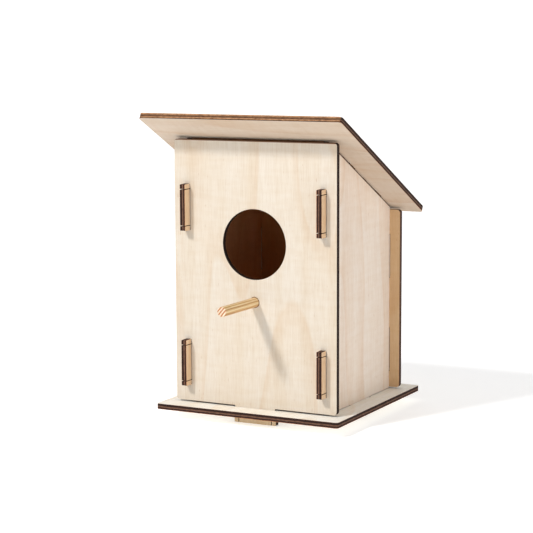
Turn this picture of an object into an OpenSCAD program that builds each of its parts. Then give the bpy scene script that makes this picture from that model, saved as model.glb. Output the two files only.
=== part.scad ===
// Flat-pack plywood birdhouse with a lean-to roof.
// Six laser-cut sheets snap together with barbed tabs. The roof drops over
// four hooked tabs and slides down the slope to lock. A round perch is pressed
// into the front, and a jute cord is threaded through the roof as a hanger.
// X runs along the front, Y from the front to the back and Z up. The origin is
// under the middle of the outline, level with the tips of the base tabs.

/* [Sheets] */
// Thickness of the three-ply sheet
ply = 3.5; // [3:0.1:3.8]
// Width of the front and back panels
house_w = 110; // [104:1:116]
// Height of the front panel above the base
front_h = 163.2; // [158:0.2:175]
// Height above the base of the side panels' high corner, just under the roof
side_h = 163.5; // [160:0.1:176]
// Clear depth between the front and back panels
room_d = 90; // [86:1:96]
// Distance from the edge of the front panel in to the side panel
side_inset = 7; // [6:0.5:9]
// Radius of the corners of every sheet
corner_r = 2; // [1:0.5:3]

/* [Base] */
// Width of the base
base_w = 124; // [118:1:130]
// How far the base stands out in front of and behind the house
base_margin = 13.5; // [11:0.5:16]

/* [Roof] */
// Width of the roof
roof_w = 135; // [128:1:145]
// Length of the roof down its slope
roof_l = 137.5; // [128:0.5:145]
// Pitch of the roof, falling towards the back
roof_pitch = 27; // [24:1:30]
// Overhang in front of the front panel's back face, along the slope
roof_front = 28; // [22:1:32]

/* [Snap tabs] */
// Length of a snap tab where it passes through its slot
tab_neck = 27.4; // [24:0.2:28]
// How far each barb hooks over the end of its slot
tab_barb = 0.7; // [0.4:0.1:1]
// How far a snap tab stands out of the sheet it locks
tab_proud = 6; // [5:0.5:7]
// Height above the base of the middle of the lower tabs
tab_low_z = 25.3; // [22:0.1:30]
// Height above the base of the middle of the upper tabs in the front panel
tab_front_z = 121.6; // [115:0.1:126]
// Height above the base of the middle of the upper tabs in the back panel
tab_back_z = 85.8; // [80:0.1:90]

/* [Roof tabs] */
// Length of a roof tab in its slot
roof_tab_l = 19.5; // [17:0.5:21]
// How far a roof tab hooks over the uphill end of its slot
roof_tab_hook = 2; // [1.5:0.5:2.5]
// How far a roof tab stands above the roof
roof_tab_proud = 5; // [4:0.5:6]
// Length of a roof slot
roof_slot_l = 30; // [28:0.5:31]
// Uphill ends of the two slots, from the front panel down the slope
roof_slot_starts = [11.5, 55.5];

/* [Entrance and perch] */
// Diameter of the entrance
entrance_d = 43; // [32:1:46]
// Height of the middle of the entrance above the base
entrance_z = 100.7; // [98:0.1:104]
// Diameter of the perch
perch_d = 6; // [5:0.5:8]
// Height of the perch above the base
perch_z = 65.5; // [62:0.5:70]
// Length of the perch in front of the front panel
perch_out = 41; // [38:1:50]
// Length of the perch inside the house
perch_in = 3; // [2:0.5:5]

/* [Keyhole] */
// Diameter of the hole that a screw's head passes through
keyhole_d = 8.5; // [8:0.5:10]
// Width of the slot that holds the screw's shank
keyhole_slot = 4.5; // [4:0.5:5]
// Height of the head hole above the base
keyhole_z = 72; // [68:1:76]
// Rise of the slot's end above the head hole
keyhole_rise = 6; // [5:0.5:8]

/* [Cord] */
// Diameter of the jute cord
cord_d = 3; // [2.5:0.5:3]
// Diameter of the two holes for the cord
cord_hole_d = 4.5; // [4:0.5:5]
// Distances of the cord holes from the roof's high edge
cord_holes = [65, 81];

/* [Hidden] */
$fn = 64;

fit = 0.1;          // gap at each side of a tab in its slot in the base
side_fit = 0.4;     // gap at each side of a side panel's tab in its slot
roof_fit = 0.4;     // gap at each side of a roof tab in its slot
end_fit = 0.3;      // gap at each end of a snap tab in its slot
over_cut = 1;       // how far a cutting shape runs past the sheet
foot_gap = 1;       // gap under the front and back panels, beside their tabs
side_gap = 0.3;     // gap under the side panels
pierce_r = 0.6;     // burnt hole where the laser starts a slot for a side panel
slit_w = 0.5;       // width of the slits that free a snap tab's two arms
arm_w = 2.2;        // width of one snap arm at its neck
tip_narrow = 0.2;   // how much each end of a snap tab draws in at its tip
tip_r = 0.5;        // radius of the corners of a tab's tip
side_tab_l = 28.5;  // length of the plain tab under each side panel
roof_gap = 0.3;     // gap between the roof and the side panels
hook_gap = 0.3;     // gap between the roof and the hooks above it
chamfer = 0.4;      // chamfer on the ends of the perch

base_z = tab_proud + ply;                  // top of the base
face_y = perch_out - (perch_out + 2 * ply + room_d + base_margin) / 2;
room_y = face_y + ply;                     // back face of the front panel
back_y = room_y + room_d;                  // front face of the back panel
base_d = 2 * base_margin + 2 * ply + room_d;
side_x = house_w / 2 - side_inset;         // outer face of a side panel
roof_z = base_z + side_h + roof_gap;      // underside of the roof at room_y
back_h = side_h - (room_d + ply) * tan(roof_pitch) - roof_gap;

// Route of the cord's middle line in the roof's own frame: across the house,
// down the slope from the front panel, and up from the roof's underside. It
// goes from the knot round the loop, down through the upper hole, up through
// the lower hole and back beside itself to the knot.
cord_route = [
    [23.5, 7, 7.2], [23.5, 12, 6.6], [23.5, 20, 5.4], [24, 46, 5.1],
    [23.5, 72, 5.1], [23.5, 80, 5.1], [20.5, 87, 5.1], [13.5, 90, 5.1],
    [6.5, 87, 5.1], [3.5, 80, 5.1], [3.5, 72, 5.1], [3.5, 64, 5.3],
    [3.5, 57, 6.5], [2.5, 51, 9], [1.5, 45, 10.5], [0.5, 39.5, 8],
    [0, 37, 2.5], [0, 37, -2], [0, 39.5, -7.5], [0, 45, -10], [0, 50.5, -7.5],
    [0, 53, -2], [0, 53, 2.5], [0, 55.5, 8], [0, 61, 10.5], [0, 67, 9],
    [0, 73, 6.5], [0, 80, 5.3], [4, 89.5, 5.1], [13.5, 93.5, 5.1],
    [23, 89.5, 5.1], [27, 80, 5.1], [27, 72, 5.1], [27.5, 46, 5.1],
    [27, 20, 5.4], [27, 12, 6.6], [27, 7, 7.2]];
cord_sides = 8;
cord_steps = 2;     // rings to each stretch between two route points
knot_pos = [25.3, 5, 7.3];
knot_r = 3.6;       // radius of the knot
knot_l = 2;         // length of its straight middle
tail_d = 2.6;       // each short tail beyond the knot
tail_l = 11;
tail_spread = 13;   // angle of a tail out to its side
tail_drop = 7;      // angle of a tail down towards the roof

ply_colour = [0.95, 0.87, 0.74];
edge_colour = [0.88, 0.77, 0.62];
dowel_colour = [0.90, 0.76, 0.55];
jute_colour = [0.72, 0.52, 0.33];

// A rectangle with round corners, w by h, standing on the X axis.
module round_rect(w, h, r) {
    translate([-w / 2, r]) square([w, h - 2 * r]);
    translate([-w / 2 + r, 0]) square([w - 2 * r, h]);
    for (x = [-w / 2 + r, w / 2 - r], y = [r, h - r])
        translate([x, y]) circle(r);
}

// A snap tab that points along +Y from a sheet's edge on the X axis.
// It is split by two slits into a stiff middle and two springy arms.
module snap_tab() {
    reach = ply + tab_proud;
    barb_y = ply + fit;
    half = tab_neck / 2 + tab_barb;
    tip = half - tip_narrow;
    difference() {
        union() {
            translate([-tab_neck / 2, -over_cut]) square([tab_neck, barb_y + 2 * over_cut]);
            polygon([[half, barb_y], [tip, reach - tip_r], [tip - tip_r, reach],
                     [-tip + tip_r, reach], [-tip, reach - tip_r], [-half, barb_y]]);
            for (side = [-1, 1])
                translate([side * (tip - tip_r), reach - tip_r]) circle(tip_r);
        }
        for (side = [-1, 1])
            translate([side * (tab_neck / 2 - arm_w - slit_w / 2), over_cut]) {
                translate([-slit_w / 2, 0]) square([slit_w, reach]);
                circle(slit_w / 2);
            }
    }
}

// The slot that a snap tab passes through, along X, with a gap at each side.
module snap_slot(gap) {
    square([tab_neck + 2 * end_fit, ply + 2 * gap], center = true);
}

// A hooked roof tab that points along +Y, its uphill end at the origin.
module roof_tab() {
    reach = ply + roof_gap + roof_tab_proud;
    hook_y = ply + roof_gap + hook_gap;
    r = roof_tab_proud / 2 - hook_gap;
    translate([0, -over_cut]) square([roof_tab_l, reach - r + over_cut]);
    translate([-roof_tab_hook, hook_y + r]) square([roof_tab_l + roof_tab_hook, reach - hook_y - 2 * r]);
    translate([-roof_tab_hook + r, hook_y]) square([roof_tab_l + roof_tab_hook - 2 * r, reach - hook_y]);
    for (x = [-roof_tab_hook + r, roof_tab_l - r])
        translate([x, reach - r]) circle(r);
    translate([-roof_tab_hook + r, hook_y + r]) circle(r);
}

// Lays a drawing of an upright sheet, X across and Y up, with its front face at y.
module upright(y) {
    translate([0, y + ply, base_z]) rotate([90, 0, 0]) linear_extrude(ply) children();
}

module base() {
    color(ply_colour)
    translate([0, 0, tab_proud]) linear_extrude(ply) difference() {
        translate([0, face_y - base_margin]) round_rect(base_w, base_d, corner_r);
        for (y = [face_y, back_y])
            translate([0, y + ply / 2]) snap_slot(fit);
        for (side = [-1, 1])
            translate([side * (side_x - ply / 2), room_y + room_d / 2])
                square([ply + 2 * fit, side_tab_l + 2 * end_fit], center = true);
        for (side = [-1, 1])
            translate([side * (side_x + pierce_r / 2), room_y + (room_d + side_tab_l) / 2])
                circle(pierce_r);
    }
}

// The slots for the side panels' snap tabs, at the two heights in zs.
module side_slots(zs) {
    for (side = [-1, 1], z = zs)
        translate([side * (side_x - ply / 2), z]) rotate(90) snap_slot(side_fit);
}

module front_panel() {
    color(ply_colour)
    upright(face_y) {
        difference() {
            translate([0, foot_gap]) round_rect(house_w, front_h - foot_gap, corner_r);
            translate([0, entrance_z]) circle(entrance_d / 2);
            translate([0, perch_z]) circle(perch_d / 2 + fit / 2);
            side_slots([tab_low_z, tab_front_z]);
        }
        rotate(180) snap_tab();
    }
}

module back_panel() {
    color(ply_colour)
    upright(back_y) {
        difference() {
            translate([0, foot_gap]) round_rect(house_w, back_h - foot_gap, corner_r);
            translate([0, keyhole_z]) circle(keyhole_d / 2);
            translate([0, keyhole_z + keyhole_rise]) circle(keyhole_slot / 2);
            translate([-keyhole_slot / 2, keyhole_z]) square([keyhole_slot, keyhole_rise]);
            side_slots([tab_low_z, tab_back_z]);
        }
        rotate(180) snap_tab();
    }
}

// A side panel drawn with the house's depth along X and its height along Y.
module side_panel(outer_x) {
    bottom_l = (room_d - side_tab_l) / 2;
    color(edge_colour)
    translate([outer_x, room_y, base_z]) rotate([90, 0, 90]) linear_extrude(ply) {
        polygon([[0, side_gap], [room_d, side_gap],
                 [room_d, side_h - room_d * tan(roof_pitch)], [0, side_h]]);
        translate([bottom_l, -ply]) square([side_tab_l, ply + over_cut]);
        for (z = [tab_low_z, tab_front_z])
            translate([0, z]) rotate(90) snap_tab();
        for (z = [tab_low_z, tab_back_z])
            translate([room_d, z]) rotate(-90) snap_tab();
        translate([0, side_h]) rotate(-roof_pitch)
            for (start = roof_slot_starts)
                translate([start + end_fit, 0]) roof_tab();
    }
}

module left_panel() {
    side_panel(-side_x);
}

module right_panel() {
    side_panel(side_x - ply);
}

// Places what is drawn in the roof's own frame, whose Y runs down the slope.
module on_slope() {
    translate([0, room_y, roof_z]) rotate([-roof_pitch, 0, 0]) children();
}

module roof() {
    color(ply_colour)
    on_slope() linear_extrude(ply) difference() {
        translate([0, -roof_front]) round_rect(roof_w, roof_l, corner_r);
        for (side = [-1, 1], start = roof_slot_starts)
            translate([side * (side_x - ply / 2) - ply / 2 - roof_fit, start])
                square([ply + 2 * roof_fit, roof_slot_l]);
        for (down = cord_holes)
            translate([0, down - roof_front]) circle(cord_hole_d / 2);
    }
}

module perch() {
    r = perch_d / 2;
    length = perch_out + ply + perch_in;
    color(dowel_colour)
    translate([0, face_y - perch_out, base_z + perch_z]) rotate([-90, 0, 0])
        rotate_extrude()
            polygon([[0, 0], [r - chamfer, 0], [r, chamfer], [r, length - chamfer],
                     [r - chamfer, length], [0, length]]);
}

function unit(v) = v / norm(v);

// The direction of a route at its point i, halfway between its two neighbours.
function heading(p, i) =
    unit((i < len(p) - 1 ? unit(p[i + 1] - p[i]) : [0, 0, 0])
         + (i > 0 ? unit(p[i] - p[i - 1]) : [0, 0, 0]));

// A smooth curve through all the points of a route, with steps to each stretch.
function smooth(p, steps) = concat(
    [for (i = [0 : len(p) - 2], k = [0 : steps - 1])
        let (t = k / steps, reach = norm(p[i + 1] - p[i]))
        (1 + 2 * t) * pow(1 - t, 2) * p[i]
        + t * pow(1 - t, 2) * reach * heading(p, i)
        + t * t * (3 - 2 * t) * p[i + 1]
        - t * t * (1 - t) * reach * heading(p, i + 1)],
    [p[len(p) - 1]]);

// A direction across the cord, which never runs along this fixed one.
function across(along) = let (fixed = [1, 0, 1]) unit(fixed - along * (fixed * along));

// A round tube swept along the points p, with the given sides.
module tube(p, r, sides) {
    rings = [for (i = [0 : len(p) - 1])
        let (along = heading(p, i), u = across(along), v = cross(along, u))
        for (k = [0 : sides - 1])
            p[i] + r * (cos(360 * k / sides) * u + sin(360 * k / sides) * v)];
    last = (len(p) - 1) * sides;
    walls = [for (i = [0 : len(p) - 2], k = [0 : sides - 1])
        let (a = i * sides + k, b = i * sides + (k + 1) % sides)
        [a, a + sides, b + sides, b]];
    ends = [[for (k = [0 : sides - 1]) k],
            [for (k = [sides - 1 : -1 : 0]) last + k]];
    polyhedron(rings, concat(walls, ends), convexity = 10);
}

module hanging_cord() {
    color(jute_colour) on_slope() tube(smooth(cord_route, cord_steps), cord_d / 2, cord_sides);
}

module cord_knot() {
    color(jute_colour)
    on_slope() translate(knot_pos) {
        rotate([90, 0, 0]) cylinder(h = knot_l, r = knot_r, center = true);
        for (end = [-1, 1])
            translate([0, end * knot_l / 2, 0]) sphere(knot_r);
        for (side = [-1, 1])
            translate([side * tail_d / 2, 0, 0]) rotate([90 + tail_drop, 0, side * tail_spread])
                cylinder(h = tail_l, d = tail_d);
    }
}

base();
front_panel();
back_panel();
left_panel();
right_panel();
roof();
perch();
hanging_cord();
cord_knot();
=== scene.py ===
"""A flat-pack birdhouse of laser-cut three-ply with a sliding lean-to roof.

The sheets and the perch keep the shapes that the frame brings and get their
wood here. The jute cord and its knot are made here as twisted cord.
Lengths are in metres, and the patterns' own coordinates in millimetres.
"""

import math

import bmesh
import bpy
from mathutils import Euler, Matrix, Vector


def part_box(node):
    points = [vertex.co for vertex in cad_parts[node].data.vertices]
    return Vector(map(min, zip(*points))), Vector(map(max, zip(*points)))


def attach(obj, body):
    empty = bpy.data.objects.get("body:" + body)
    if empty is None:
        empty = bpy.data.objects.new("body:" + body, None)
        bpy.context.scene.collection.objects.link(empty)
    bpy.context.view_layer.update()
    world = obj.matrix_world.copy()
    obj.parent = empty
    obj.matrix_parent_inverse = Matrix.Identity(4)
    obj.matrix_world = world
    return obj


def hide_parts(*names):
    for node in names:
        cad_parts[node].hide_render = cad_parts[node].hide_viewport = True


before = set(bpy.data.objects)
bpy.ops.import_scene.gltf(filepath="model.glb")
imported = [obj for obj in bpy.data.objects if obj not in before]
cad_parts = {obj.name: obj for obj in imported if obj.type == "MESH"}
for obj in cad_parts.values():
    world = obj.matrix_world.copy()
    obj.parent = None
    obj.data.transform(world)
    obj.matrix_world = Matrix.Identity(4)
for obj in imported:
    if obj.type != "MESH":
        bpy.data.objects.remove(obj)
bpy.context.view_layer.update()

# --- Camera ---------------------------------------------------------------
# A long lens, a little above the perch and to the right of the entrance. It
# takes in the front, the right side and the underside of the roof.

camera_azimuth = math.radians(27.64)
camera_elevation = math.radians(7.63)
camera_roll = math.radians(-0.23)
camera_distance = 1.077
camera_aim = Vector((-0.0087, -0.00225, 0.0925))

camera_data = bpy.data.cameras.new("camera")
camera_data.sensor_width = 36
camera_data.lens = 116.9
camera = bpy.data.objects.new("camera", camera_data)
bpy.context.collection.objects.link(camera)
camera_back = Vector((
    math.sin(camera_azimuth) * math.cos(camera_elevation),
    -math.cos(camera_azimuth) * math.cos(camera_elevation),
    math.sin(camera_elevation),
))
camera.matrix_world = (
    Matrix.Translation(camera_aim + camera_distance * camera_back)
    @ camera_back.to_track_quat("Z", "Y").to_matrix().to_4x4()
    @ Matrix.Rotation(camera_roll, 4, "Z")
)
bpy.context.scene.camera = camera

# --- Hanging cord -----------------------------------------------------------
# Jute cord of three strands, laid up right-handed and 3 mm thick. It runs down
# through one hole in the roof and up through the other, and its two ends are
# knotted together. Here it lies slack on the roof.

MM = 0.001
cord_thickness = 3 * MM
cord_groove = 0.17       # depth of the grooves between strands, in radii
cord_roundness = 0.6     # below 1 a strand is plump, above it a sharp ridge
cord_tip = 0.4           # length of an end's blunt tip, in thicknesses
cord_strands = 3
cord_lay = 9 * MM        # length of one full turn of a strand
cord_step = 0.45 * MM
cord_sides = 30
cord_girth = 10          # width of the pattern round the cord, in millimetres

# The roof's own frame: across the house, down the slope and up from its
# underside. It starts on the back face of the front panel.
ply = 3.5 * MM
roof_pitch = math.radians(27)
panel_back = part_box("front_panel")[1][1]
roof_low = Vector(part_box("roof")[0])
roof_high = Vector(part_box("roof")[1])
roof_front = 28 * MM
roof_start = Vector((
    0,
    panel_back,
    roof_high.z - ply * math.cos(roof_pitch) - roof_front * math.sin(roof_pitch),
))
roof_turn = Euler((-roof_pitch, 0, 0))
roof_frame = Matrix.Translation(roof_start) @ roof_turn.to_matrix().to_4x4()

# Points in that frame, in millimetres: from the knot round the loop, down
# through the upper hole, up through the lower hole and back to the knot.
cord_route = [
    (23.5, 7, 7.2), (23.5, 12, 6.6), (23.5, 20, 5.4), (24, 46, 5.1),
    (23.5, 72, 5.1), (23.5, 80, 5.1), (20.5, 87, 5.1), (13.5, 90, 5.1),
    (6.5, 87, 5.1), (3.5, 80, 5.1), (3.5, 72, 5.1), (3.5, 64, 5.3),
    (3.5, 57, 6.5), (2.5, 51, 9), (1.5, 45, 10.5), (0.5, 39.5, 8),
    (0, 37, 2.5), (0, 37, -2), (0, 39.5, -7.5), (0, 45, -10), (0, 50.5, -7.5),
    (0, 53, -2), (0, 53, 2.5), (0, 55.5, 8), (0, 61, 10.5), (0, 67, 9),
    (0, 73, 6.5), (0, 80, 5.3), (4, 89.5, 5.1), (13.5, 93.5, 5.1),
    (23, 89.5, 5.1), (27, 80, 5.1), (27, 72, 5.1), (27.5, 46, 5.1),
    (27, 20, 5.4), (27, 12, 6.6), (27, 7, 7.2),
]


def on_roof(points):
    """Points in the roof's own frame, in millimetres, placed on the roof."""
    return [roof_frame @ (Vector(point) * MM) for point in points]


def heading(points, i):
    """The direction of a route at point i, halfway between its neighbours."""
    way = Vector()
    if i + 1 < len(points):
        way += (points[i + 1] - points[i]).normalized()
    if i > 0:
        way += (points[i] - points[i - 1]).normalized()
    return way.normalized()


def smooth_route(points, step):
    """Evenly spaced points about step apart on a smooth curve through points."""
    dense = []
    for i in range(len(points) - 1):
        reach = (points[i + 1] - points[i]).length
        steps = max(8, math.ceil(4 * reach / step))
        for k in range(steps):
            t = k / steps
            dense.append(
                (1 + 2 * t) * (1 - t) ** 2 * points[i]
                + t * (1 - t) ** 2 * reach * heading(points, i)
                + t * t * (3 - 2 * t) * points[i + 1]
                - t * t * (1 - t) * reach * heading(points, i + 1)
            )
    dense.append(points[-1])
    far = [0.0]
    for a, b in zip(dense, dense[1:]):
        far.append(far[-1] + (b - a).length)
    count = max(2, round(far[-1] / step))
    even, at = [], 0
    for k in range(count + 1):
        want = far[-1] * k / count
        while at < len(dense) - 2 and far[at + 1] < want:
            at += 1
        part = (want - far[at]) / (far[at + 1] - far[at])
        even.append(dense[at].lerp(dense[at + 1], min(1, part)))
    return even, far[-1]


def add_cord(shape, points, thickness):
    """Adds a twisted cord along points to a bmesh, with UVs in millimetres along
    and round it. Each end is drawn in to a blunt tip."""
    route, length = smooth_route(points, cord_step)
    uv = shape.loops.layers.uv.verify()
    across = Vector((1, 0, 0))
    if abs(heading(route, 0).dot(across)) > 0.8:
        across = Vector((0, 0, 1))
    rings = []
    for i, middle in enumerate(route):
        along = heading(route, i)
        across = (across - along * along.dot(across)).normalized()
        other = along.cross(across)
        gone = length * i / (len(route) - 1)
        end = min(gone, length - gone) / (cord_tip * thickness)
        slim = math.sqrt(max(0.02, 1 - (1 - min(1, end)) ** 2))
        ring = []
        for k in range(cord_sides):
            angle = 2 * math.pi * k / cord_sides
            lobe = abs(math.cos(cord_strands * angle / 2))
            plump = 1 - 2 * cord_groove + 2 * cord_groove * lobe ** cord_roundness
            radius = thickness / 2 * slim * plump
            turned = angle + 2 * math.pi * gone / cord_lay
            ring.append(shape.verts.new(
                middle + radius * (math.cos(turned) * across + math.sin(turned) * other)
            ))
        rings.append(ring)
    for i in range(len(rings) - 1):
        for k in range(cord_sides):
            n = (k + 1) % cord_sides
            face = shape.faces.new((rings[i][k], rings[i][n], rings[i + 1][n], rings[i + 1][k]))
            face.smooth = True
            corners = ((i, k), (i, k + 1), (i + 1, k + 1), (i + 1, k))
            for loop, (row, column) in zip(face.loops, corners):
                loop[uv].uv = (row * cord_step / MM, cord_girth * column / cord_sides)
    for ring, flip in ((rings[0], True), (rings[-1], False)):
        shape.faces.new(ring[::-1] if flip else ring)
    return route, length


def finish_piece(name, shape, material, body):
    """Makes a bmesh an object with a material, that rides on a body."""
    mesh = bpy.data.meshes.new(name)
    shape.to_mesh(mesh)
    shape.free()
    piece = bpy.data.objects.new(name, mesh)
    bpy.context.collection.objects.link(piece)
    mesh.materials.append(material)
    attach(piece, body)
    return piece


def linear(code):
    """An sRGB hex colour as linear red, green, blue and alpha."""
    parts = [int(code[i:i + 2], 16) / 255 for i in (1, 3, 5)]
    return tuple(
        v / 12.92 if v <= 0.04045 else ((v + 0.055) / 1.055) ** 2.4 for v in parts
    ) + (1.0,)


def new_material(name, roughness):
    """A material with its Principled shader, as (material, tree, shader)."""
    material = bpy.data.materials.new(name)
    material.use_nodes = True
    shader = material.node_tree.nodes["Principled BSDF"]
    shader.inputs["Roughness"].default_value = roughness
    return material, material.node_tree, shader


def add_node(tree, kind, inputs=None, ramp=None, **settings):
    """Adds a node. An input is a plain value, a socket, or a node whose first
    output is used. ramp gives the stops of a colour ramp."""
    node = tree.nodes.new(kind)
    for name, value in settings.items():
        setattr(node, name, value)
    for name, value in (inputs or {}).items():
        if isinstance(value, bpy.types.Node):
            value = value.outputs[0]
        if isinstance(value, bpy.types.NodeSocket):
            tree.links.new(value, node.inputs[name])
        else:
            node.inputs[name].default_value = value
    if ramp:
        stops = node.color_ramp.elements
        while len(stops) < len(ramp):
            stops.new(0.5)
        for stop, (place, colour) in zip(stops, ramp):
            stop.position = place
            stop.color = linear(colour)
    return node


def jute():
    """Jute: coarse golden-brown bast fibre, matt, with pale and dark fibres that
    run along each strand, and a soft fuzz that lifts its colour at grazing angles."""
    material, tree, shader = new_material("twisted_jute", 0.9)
    uv = add_node(tree, "ShaderNodeUVMap")
    # fibres are 0.05 mm wide in truth, and drawn at 0.3 mm so that they show
    fibre = add_node(tree, "ShaderNodeMapping", {"Vector": uv, "Scale": (0.12, 3.2, 1)})
    streak = add_node(tree, "ShaderNodeTexNoise", {
        "Vector": fibre, "Scale": 1.0, "Detail": 4.0, "Roughness": 0.65})
    tone = add_node(tree, "ShaderNodeValToRGB", {"Fac": streak}, ramp=[
        (0.30, "#6f4524"), (0.47, "#a97543"), (0.60, "#c6965f"), (0.75, "#e2bd8a")])
    # the yarn is paler and darker in patches about 15 mm long
    patch = add_node(tree, "ShaderNodeTexNoise", {"Vector": uv, "Scale": 0.07, "Detail": 2.0})
    shade = add_node(tree, "ShaderNodeValToRGB", {"Fac": patch}, ramp=[
        (0.35, "#d9c3a8"), (0.65, "#ffffff")])
    colour = add_node(tree, "ShaderNodeMixRGB", {
        "Fac": 0.8, "Color1": tone, "Color2": shade}, blend_type="MULTIPLY")
    tree.links.new(colour.outputs[0], shader.inputs["Base Color"])
    bump = add_node(tree, "ShaderNodeBump", {
        "Height": streak, "Strength": 0.7, "Distance": 0.15 * MM})
    tree.links.new(bump.outputs[0], shader.inputs["Normal"])
    shader.inputs["Sheen Weight"].default_value = 0.25
    shader.inputs["Sheen Roughness"].default_value = 0.5
    return material


jute_material = jute()
cord_shape = bmesh.new()
cord_path, cord_length = add_cord(cord_shape, on_roof(cord_route), cord_thickness)
cord = finish_piece("jute_cord", cord_shape, jute_material, "lid")
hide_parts("hanging_cord")

# --- Knot -------------------------------------------------------------------
# The two ends of the cord are knotted together, pulled tight, and cut short.
# One end goes round both strands, and two tails stick out beyond it.

knot_middle = (25.25, 5, 7.3)
knot_thickness = 0.85 * cord_thickness    # the cord is squeezed in the knot
wrap_radius = 2.35
wrap_turns = 2.2
wrap_length = 5.6
wrap_slant = 0.7
wrap_points = 12         # points to each turn
tail_splays = (-0.8, 1.25)


def wrap_route():
    """A short slanting coil round the two strands, tucked in at both ends."""
    count = round(wrap_turns * wrap_points)
    route = []
    for i in range(count + 1):
        t = i / count
        angle = 2 * math.pi * wrap_turns * t
        tuck = 0.45 + 0.55 * min(1, 4 * t, 4 * (1 - t))
        route.append((
            knot_middle[0] + wrap_radius * tuck * math.cos(angle),
            knot_middle[1] + wrap_length * (t - 0.5) + wrap_slant * math.sin(angle),
            knot_middle[2] + 0.95 * wrap_radius * tuck * math.sin(angle),
        ))
    return route


def tail_route(splay):
    """A tail from beside one strand, through the knot and out over the roof."""
    side = math.copysign(1, splay)
    return [
        (knot_middle[0] + 1.75 * side, 8, 7.1),
        (knot_middle[0] + 1.0 * side, 5, 7.4),
        (knot_middle[0] + 1.3 * side, 1.5, 7.0),
        (knot_middle[0] + 2.2 * splay, -2, 6.3),
        (knot_middle[0] + 3.1 * splay, -5.3, 5.7),
    ]


knot_shape = bmesh.new()
add_cord(knot_shape, on_roof(wrap_route()), knot_thickness)
for splay in tail_splays:
    add_cord(knot_shape, on_roof(tail_route(splay)), knot_thickness)
knot = finish_piece("cord_knot_wraps", knot_shape, jute_material, "lid")
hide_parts("cord_knot")

# --- Sheets -----------------------------------------------------------------
# Three-ply of 3.5 mm, sanded and left bare, cut out by laser. The faces are
# pale birch veneer. The beam chars the cut edges dark brown, so that the two
# outer plies and the core show there as bands.

base_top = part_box("base")[1][2]
side_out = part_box("right_panel")[1][0]
room_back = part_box("back_panel")[0][1]
room_middle = (panel_back + room_back) / 2
room_half = (room_back - panel_back) / 2
perch_middle = (Vector(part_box("perch")[0]) + Vector(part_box("perch")[1])) / 2
# round the perch's hole the mark is scorch and painted contact shade
scorch_and_shade_radius = 3.4 * MM     # the mark round the perch's hole
# skin is the reach of the stains and of the painted shade
skin = 0.3 * MM              # how far a stain reaches past the face it is on
roof_up = roof_turn.to_matrix() @ Vector((0, 0, 1))
roof_uphill = roof_turn.to_matrix() @ Vector((0, -1, 0))

# tints that multiply the veneer's own colour
clean = "#ffffff"
smoked = "#f8e8d0"
# the brown tint inside the house is painted shade
painted_inside_shade = "#fbd0a2"

# an ordinary edge is charred nearly black, with the core a little paler
charred = [
    (0.0, "#c4855a"), (0.07, "#7a4630"), (0.13, "#28130c"), (0.30, "#301b13"), (0.40, "#7c5b49"),
    (0.52, "#735140"), (0.62, "#28130c"), (0.90, "#301a12"), (1.0, "#734833")]
# the front panel was cut slowly, and its edges are black right through
blackened = [
    (0.0, "#6b4430"), (0.07, "#3a2018"), (0.13, "#1c0e09"), (0.40, "#36241c"), (0.52, "#36241c"),
    (0.62, "#1c0e09"), (0.92, "#241410"), (1.0, "#4a2e22")]
# the roof's edges that face up the roof are drawn with their plies tan
browned = [
    (0.0, "#4d2c19"), (0.10, "#3a2012"), (0.20, "#b5875f"), (0.33, "#c0926c"), (0.40, "#3a2012"),
    (0.54, "#8a6346"), (0.65, "#3a2012"), (0.73, "#a97d58"), (0.92, "#bd9069"), (1.0, "#c9a27c")]


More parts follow.
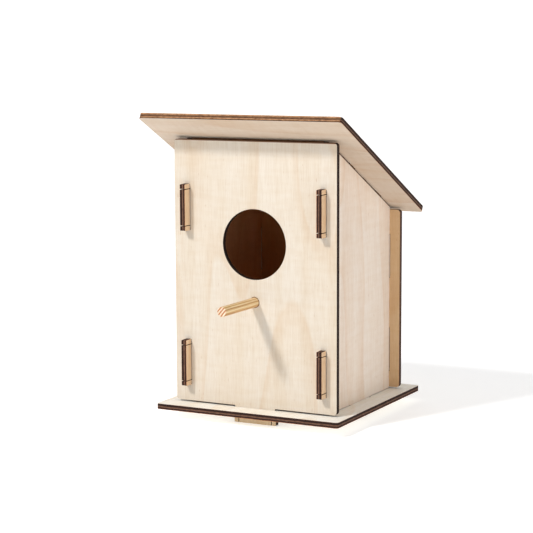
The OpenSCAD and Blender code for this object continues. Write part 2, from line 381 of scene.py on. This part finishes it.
def veneer(tree, sheet, shift, pale, warm):
    """The colour of clean birch veneer, and its fibres for the bump. Each
    pattern's scale is its size in millimetres across the grain and along it."""
    # broad pale and warm stripes about 9 mm wide, as the veneer was peeled
    wide = add_node(tree, "ShaderNodeMapping", {
        "Vector": sheet, "Location": shift, "Scale": (1 / 9, 1 / 150, 1 / 9)})
    stripes = add_node(tree, "ShaderNodeTexNoise", {
        "Vector": wide, "Scale": 1.0, "Detail": 3.0, "Roughness": 0.5})
    face = add_node(tree, "ShaderNodeValToRGB", {"Fac": stripes}, ramp=[
        (0.32, warm), (0.60, pale)])
    # the arched figure: contour lines of a slow hill stretched along the grain
    slow = add_node(tree, "ShaderNodeMapping", {
        "Vector": sheet, "Location": shift, "Scale": (1 / 46, 1 / 190, 1 / 46)})
    hill = add_node(tree, "ShaderNodeTexNoise", {
        "Vector": slow, "Scale": 1.0, "Detail": 0.5, "Roughness": 0.4, "Distortion": 0.2})
    steps = add_node(tree, "ShaderNodeMath", {0: hill, 1: 6.0}, operation="MULTIPLY")
    rings = add_node(tree, "ShaderNodeMath", {0: steps, 1: 1.0}, operation="FRACT")
    arches = add_node(tree, "ShaderNodeValToRGB", {"Fac": rings}, ramp=[
        (0.0, "#ffffff"), (0.70, "#fefaf4"), (0.94, "#f4e2cd"), (1.0, "#ffffff")])
    face = add_node(tree, "ShaderNodeMixRGB", {
        "Fac": 0.4, "Color1": face, "Color2": arches}, blend_type="MULTIPLY")
    # fibres, 0.03 mm wide in truth and drawn at 0.6 mm so that they show
    thin = add_node(tree, "ShaderNodeMapping", {
        "Vector": sheet, "Location": shift, "Scale": (1 / 0.6, 1 / 14, 1 / 0.6)})
    fibres = add_node(tree, "ShaderNodeTexNoise", {
        "Vector": thin, "Scale": 1.0, "Detail": 4.0, "Roughness": 0.6})
    lines = add_node(tree, "ShaderNodeValToRGB", {"Fac": fibres}, ramp=[
        (0.30, "#ebe1d5"), (0.58, "#ffffff")])
    face = add_node(tree, "ShaderNodeMixRGB", {
        "Fac": 0.45, "Color1": face, "Color2": lines}, blend_type="MULTIPLY")
    # a faint ripple across the grain, about 3 mm long, where the fibres wave
    ripple = add_node(tree, "ShaderNodeMapping", {
        "Vector": sheet, "Location": shift, "Scale": (1 / 14, 1 / 3.2, 1 / 14)})
    waves = add_node(tree, "ShaderNodeTexNoise", {
        "Vector": ripple, "Scale": 1.0, "Detail": 2.0, "Roughness": 0.5})
    sheen = add_node(tree, "ShaderNodeValToRGB", {"Fac": waves}, ramp=[
        (0.35, "#f4eadd"), (0.62, "#ffffff")])
    face = add_node(tree, "ShaderNodeMixRGB", {
        "Fac": 0.25, "Color1": face, "Color2": sheen}, blend_type="MULTIPLY")
    # pores: short dark flecks along the grain, here and there
    flecks = add_node(tree, "ShaderNodeMapping", {
        "Vector": sheet, "Location": shift, "Scale": (1 / 0.7, 1 / 4.5, 1 / 0.7)})
    pores = add_node(tree, "ShaderNodeTexNoise", {
        "Vector": flecks, "Scale": 1.0, "Detail": 1.0})
    dots = add_node(tree, "ShaderNodeValToRGB", {"Fac": pores}, ramp=[
        (0.70, "#ffffff"), (0.80, "#c9a67c")])
    face = add_node(tree, "ShaderNodeMixRGB", {
        "Fac": 0.5, "Color1": face, "Color2": dots}, blend_type="MULTIPLY")
    return face, fibres


def stained_and_shaded(tree, face, position, across, back, tabs, rim, rim_from):
    """The veneer with the painted shade of its darker back face and of the brown
    inside of the house, the smoke on the tabs, and the scorch along its cuts,
    with painted shade under the roof and round the perch's hole."""
    from_room = add_node(tree, "ShaderNodeVectorMath", {
        0: position, 1: (0, room_middle, base_top - skin)}, operation="SUBTRACT")
    parts = add_node(tree, "ShaderNodeSeparateXYZ", {"Vector": from_room})
    x_off = add_node(tree, "ShaderNodeMath", {0: parts.outputs["X"]}, operation="ABSOLUTE")
    y_off = add_node(tree, "ShaderNodeMath", {0: parts.outputs["Y"]}, operation="ABSOLUTE")
    z_off = parts.outputs["Z"]
    from_roof = add_node(tree, "ShaderNodeVectorMath", {
        0: position, 1: roof_start}, operation="SUBTRACT")
    above_roof = add_node(tree, "ShaderNodeVectorMath", {
        0: from_roof, 1: roof_up}, operation="DOT_PRODUCT").outputs["Value"]

    # the back face, where a darker tint is painted shade
    is_back = add_node(tree, "ShaderNodeMath", {0: across, 1: -0.5}, operation="LESS_THAN")

    # inside: between the four panels, over the base and under the roof, where a brown tint is
    # painted shade
    x_in = add_node(tree, "ShaderNodeMath", {
        0: x_off, 1: side_out - ply + skin}, operation="LESS_THAN")
    y_in = add_node(tree, "ShaderNodeMath", {0: y_off, 1: room_half + skin}, operation="LESS_THAN")
    z_in = add_node(tree, "ShaderNodeMath", {0: z_off, 1: 0.0}, operation="GREATER_THAN")
    in_plan = add_node(tree, "ShaderNodeMath", {0: x_in, 1: y_in}, operation="MULTIPLY")
    in_room = add_node(tree, "ShaderNodeMath", {0: in_plan, 1: z_in}, operation="MULTIPLY")
    under_roof = add_node(tree, "ShaderNodeMath", {0: above_roof, 1: skin}, operation="LESS_THAN")
    is_inside = add_node(tree, "ShaderNodeMath", {0: in_room, 1: under_roof}, operation="MULTIPLY")

    # the tabs, which stand out beyond the other sheets
    beyond_y = add_node(tree, "ShaderNodeMath", {
        0: y_off, 1: room_half + ply + 0.2 * MM}, operation="GREATER_THAN")
    below = add_node(tree, "ShaderNodeMath", {0: z_off, 1: -ply}, operation="LESS_THAN")
    above = add_node(tree, "ShaderNodeMath", {0: above_roof, 1: ply}, operation="GREATER_THAN")
    beyond_z = add_node(tree, "ShaderNodeMath", {0: below, 1: above}, operation="MAXIMUM")
    on_tab = add_node(tree, "ShaderNodeMath", {0: beyond_y, 1: beyond_z}, operation="MAXIMUM")

    # the scorch and painted shade along the top, from rim_from up, and the scorch and painted
    # contact shade round the perch's hole
    near_roof = add_node(tree, "ShaderNodeMath", {
        0: above_roof, 1: rim_from / 2, 2: abs(rim_from / 2)}, operation="COMPARE")
    from_perch = add_node(tree, "ShaderNodeVectorMath", {
        0: position, 1: perch_middle}, operation="SUBTRACT")
    off_axis = add_node(tree, "ShaderNodeVectorMath", {
        0: from_perch, 1: (1, 0, 1)}, operation="MULTIPLY")
    from_axis = add_node(tree, "ShaderNodeVectorMath", {
        0: off_axis}, operation="LENGTH").outputs["Value"]
    at_perch = add_node(tree, "ShaderNodeMath", {
        0: from_axis, 1: scorch_and_shade_radius}, operation="LESS_THAN")
    near_cut = add_node(tree, "ShaderNodeMath", {0: near_roof, 1: at_perch}, operation="MAXIMUM")

    for where, tint in (
        (is_back, back),
        (is_inside, painted_inside_shade),
        (on_tab, tabs),
        (near_cut, rim),
    ):
        stain = add_node(tree, "ShaderNodeMixRGB", {
            "Fac": where, "Color1": linear(clean), "Color2": linear(tint)})
        face = add_node(tree, "ShaderNodeMixRGB", {
            "Fac": 1.0, "Color1": face, "Color2": stain}, blend_type="MULTIPLY")
    return face


def cut_edge(tree, sheet, normal, shift, cut, scorch):
    """The colour of a cut edge: one band for each ply, uneven, and streaked by
    the beam. scorch is for an edge that faces up the roof, and cut for the rest."""
    height = add_node(tree, "ShaderNodeSeparateXYZ", {"Vector": sheet}).outputs["Z"]
    loose = add_node(tree, "ShaderNodeMapping", {
        "Vector": sheet, "Scale": (1 / 5, 1 / 5, 1 / 5)})
    wander = add_node(tree, "ShaderNodeTexNoise", {
        "Vector": loose, "Scale": 1.0, "Detail": 3.0})
    uneven = add_node(tree, "ShaderNodeMath", {
        0: wander, 1: 0.5, 2: height}, operation="MULTIPLY_ADD")
    through = add_node(tree, "ShaderNodeMapRange", {
        "Value": uneven, "From Min": 0.25, "From Max": 0.25 + ply / MM})
    ordinary = add_node(tree, "ShaderNodeValToRGB", {"Fac": through}, ramp=cut)
    eaves = add_node(tree, "ShaderNodeValToRGB", {"Fac": through}, ramp=scorch)
    uphill = add_node(tree, "ShaderNodeVectorMath", {
        0: normal, 1: roof_uphill}, operation="DOT_PRODUCT").outputs["Value"]
    is_uphill = add_node(tree, "ShaderNodeMath", {0: uphill, 1: 0.8}, operation="GREATER_THAN")
    edge = add_node(tree, "ShaderNodeMixRGB", {
        "Fac": is_uphill, "Color1": ordinary, "Color2": eaves})
    # soot in spots 2 mm wide
    burn = add_node(tree, "ShaderNodeMapping", {
        "Vector": sheet, "Location": shift, "Scale": (1 / 2.2, 1 / 2.2, 1 / 0.9)})
    beam = add_node(tree, "ShaderNodeTexNoise", {
        "Vector": burn, "Scale": 1.0, "Detail": 4.0, "Roughness": 0.7})
    soot = add_node(tree, "ShaderNodeValToRGB", {"Fac": beam}, ramp=[
        (0.35, "#8d7a6c"), (0.60, "#ffffff")])
    return add_node(tree, "ShaderNodeMixRGB", {
        "Fac": 0.7, "Color1": edge, "Color2": soot}, blend_type="MULTIPLY")


def plywood(name, origin, turn, shift, pale, warm, back=clean, tabs=clean,
            rim=clean, rim_from=0, cut=charred, scorch=charred):
    """Birch three-ply for one sheet, matt and slightly silky on its faces and
    dull on its cuts. origin and turn give the sheet's own frame: across the
    grain, along it, and out through the good face. shift moves the figure, so
    that no two sheets are alike. pale and warm are the good face's two tones."""
    material, tree, shader = new_material(name, 0.62)
    coordinates = add_node(tree, "ShaderNodeTexCoord")
    position = coordinates.outputs["Object"]
    normal = coordinates.outputs["Normal"]
    sheet = add_node(tree, "ShaderNodeMapping", {
        "Vector": position, "Location": origin, "Rotation": turn, "Scale": (MM, MM, MM)},
        vector_type="TEXTURE")
    out = Euler(turn).to_matrix() @ Vector((0, 0, 1))
    across = add_node(tree, "ShaderNodeVectorMath", {
        0: normal, 1: out}, operation="DOT_PRODUCT").outputs["Value"]
    clear, fibres = veneer(tree, sheet, shift, pale, warm)
    face = stained_and_shaded(tree, clear, position, across, back, tabs, rim, rim_from)
    edge = cut_edge(tree, sheet, normal, shift, cut, scorch)

    square = add_node(tree, "ShaderNodeMath", {0: across}, operation="ABSOLUTE")
    is_face = add_node(tree, "ShaderNodeMath", {0: square, 1: 0.6}, operation="GREATER_THAN")
    wood = add_node(tree, "ShaderNodeMixRGB", {"Fac": is_face, "Color1": edge, "Color2": face})
    tree.links.new(wood.outputs[0], shader.inputs["Base Color"])
    rough = add_node(tree, "ShaderNodeMapRange", {
        "Value": is_face, "To Min": 0.85, "To Max": 0.60})
    tree.links.new(rough.outputs[0], shader.inputs["Roughness"])
    bump = add_node(tree, "ShaderNodeBump", {
        "Height": fibres, "Strength": 0.2, "Distance": 0.06 * MM})
    tree.links.new(bump.outputs[0], shader.inputs["Normal"])
    shader.inputs["Specular IOR Level"].default_value = 0.25
    return material


upright = math.radians(90)
roof_across = (roof_turn.to_matrix() @ Euler((0, 0, upright)).to_matrix()).to_euler()
# the sides' rim is a dark band just under the roof: char on the top edge and painted shade in the
# joint
side_looks = {
    "pale": "#ebded1", "warm": "#e6d5c5", "tabs": smoked, "rim": "#5e3f2e", "rim_from": -0.8 * MM}
sheets = {
    "front_panel": {
        "origin": (0, panel_back, base_top), "turn": (upright, 0, 0), "shift": (3, 10, 0),
        "pale": "#d9d0c3", "warm": "#d5c9b8", "tabs": smoked,
        # its rim is a brown band under the roof: char on the top edge and painted shade
        "rim": "#8a6650", "rim_from": -2.7 * MM, "cut": blackened, "scorch": blackened},
    "back_panel": {
        "origin": (0, room_back, base_top), "turn": (upright, 0, math.pi), "shift": (60, 400, 5),
        # the darker tint of its back face is painted shade
        "pale": "#e8dcc9", "warm": "#e4d4bd", "back": "#ecd6bb", "tabs": smoked},
    "right_panel": {
        "origin": (side_out - ply, 0, base_top), "turn": (upright, 0, upright),
        "shift": (130, 90, 9), **side_looks},
    "left_panel": {
        "origin": (ply - side_out, 0, base_top), "turn": (upright, 0, -upright),
        "shift": (220, 700, 2), **side_looks},
    "base": {
        "origin": (0, 0, base_top - ply), "turn": (0, 0, 0), "shift": (310, 50, 7),
        "pale": "#f8f6f0", "warm": "#f3eee2"},
    "roof": {
        "origin": roof_start, "turn": roof_across, "shift": (420, 260, 4),
        # the darker tint of its underside is painted shade
        "pale": "#e8dcc9", "warm": "#e4d4bd", "back": "#e4dfe0", "scorch": browned},
}
for node, looks in sheets.items():
    wood = plywood(f"birch_plywood_{node}", **looks)
    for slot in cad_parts[node].material_slots:
        slot.material = wood

# --- Perch ------------------------------------------------------------------
# A 6 mm softwood dowel, turned and sanded, with its ends chamfered. It is
# pressed into the front panel and ends just inside.


def dowel():
    """Bare softwood: straw yellow, with brown late-wood lines along it that
    cross its ends as slanting stripes."""
    material, tree, shader = new_material("turned_softwood", 0.5)
    coordinates = add_node(tree, "ShaderNodeTexCoord")
    # the pattern is stretched 18 times along the rod, and its rings slant
    rod = add_node(tree, "ShaderNodeMapping", {
        "Vector": coordinates.outputs["Object"], "Location": perch_middle,
        "Rotation": (0, math.radians(40), 0), "Scale": (MM, 18 * MM, MM)},
        vector_type="TEXTURE")
    # growth rings 1.7 mm apart, nearly flat over so thin a rod
    rings = add_node(tree, "ShaderNodeTexWave", {
        "Vector": rod, "Scale": 0.185, "Distortion": 1.3, "Detail": 2.0,
        "Detail Scale": 0.8, "Phase Offset": 1.2}, bands_direction="X", wave_profile="SIN")
    tone = add_node(tree, "ShaderNodeValToRGB", {"Fac": rings}, ramp=[
        (0.0, "#bd8b55"), (0.22, "#dcb67c"), (0.6, "#ecd09d"), (1.0, "#f2dcae")])
    cut = add_node(tree, "ShaderNodeValToRGB", {"Fac": rings}, ramp=[
        (0.15, "#b8713f"), (0.45, "#e3bf9a"), (0.9, "#f2e0ca")])
    ends = add_node(tree, "ShaderNodeVectorMath", {
        0: coordinates.outputs["Normal"], 1: (0, 1, 0)}, operation="DOT_PRODUCT").outputs["Value"]
    is_end = add_node(tree, "ShaderNodeMath", {0: ends}, operation="ABSOLUTE")
    wood = add_node(tree, "ShaderNodeMixRGB", {"Fac": is_end, "Color1": tone, "Color2": cut})
    # fibres, drawn at 0.5 mm so that they show
    fine = add_node(tree, "ShaderNodeMapping", {"Vector": rod, "Scale": (2.0, 1.0, 2.0)})
    fibres = add_node(tree, "ShaderNodeTexNoise", {"Vector": fine, "Scale": 1.0, "Detail": 4.0})
    shade = add_node(tree, "ShaderNodeValToRGB", {"Fac": fibres}, ramp=[
        (0.35, "#cdb190"), (0.6, "#ffffff")])
    wood = add_node(tree, "ShaderNodeMixRGB", {
        "Fac": 0.6, "Color1": wood, "Color2": shade}, blend_type="MULTIPLY")
    tree.links.new(wood.outputs[0], shader.inputs["Base Color"])
    bump = add_node(tree, "ShaderNodeBump", {
        "Height": fibres, "Strength": 0.3, "Distance": 0.08 * MM})
    tree.links.new(bump.outputs[0], shader.inputs["Normal"])
    return material


dowel_wood = dowel()
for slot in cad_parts["perch"].material_slots:
    slot.material = dowel_wood

# --- Floor and light --------------------------------------------------------
# A plain white sweep of paper that glows a little, so that it stays white. The
# key light is soft and comes from the upper left in front, with a weak fill on
# the right in a white room.

floor_half = 4
wall_height = 6

sweep = bmesh.new()
bmesh.ops.create_grid(sweep, x_segments=1, y_segments=1, size=floor_half)
back_edge = [edge for edge in sweep.edges if all(vert.co.y > 0 for vert in edge.verts)]
wall = bmesh.ops.extrude_edge_only(sweep, edges=back_edge)["geom"]
wall_top = [part for part in wall if isinstance(part, bmesh.types.BMVert)]
bmesh.ops.translate(sweep, vec=(0, 0, wall_height), verts=wall_top)
facing = Matrix.Rotation(camera_azimuth, 3, "Z")
bmesh.ops.rotate(sweep, cent=(0, 0, 0), matrix=facing, verts=sweep.verts)
bmesh.ops.recalc_face_normals(sweep, faces=sweep.faces)
sweep_mesh = bpy.data.meshes.new("sweep")
sweep.to_mesh(sweep_mesh)
sweep.free()
floor = bpy.data.objects.new("sweep", sweep_mesh)
bpy.context.collection.objects.link(floor)
paper, paper_tree, paper_shader = new_material("white_paper", 0.9)
paper_shader.inputs["Base Color"].default_value = linear("#f4f4f4")
paper_shader.inputs["Emission Color"].default_value = (1, 1, 1, 1)
paper_shader.inputs["Emission Strength"].default_value = 0.36
sweep_mesh.materials.append(paper)

world = bpy.data.worlds.new("white_room")
world.use_nodes = True
room_light = world.node_tree.nodes["Background"]
room_light.inputs["Color"].default_value = (1, 1, 1, 1)
room_light.inputs["Strength"].default_value = 0.46
bpy.context.scene.world = world
house_middle = Vector((0, 0, 0.09))


def soft_light(name, place, size, power):
    """A square soft light at place, in metres and watts, facing the house."""
    data = bpy.data.lights.new(name, "AREA")
    data.size = size
    data.energy = power
    light = bpy.data.objects.new(name, data)
    bpy.context.collection.objects.link(light)
    away = Vector(place) - house_middle
    aim = away.to_track_quat("Z", "Y").to_matrix().to_4x4()
    light.matrix_world = Matrix.Translation(place) @ aim


soft_light("key", (-0.96, -2.1, 2.2), 0.36, 64)
soft_light("fill", (1.5, -0.5, 0.35), 1.2, 5.5)
bpy.context.scene.view_settings.view_transform = "Standard"
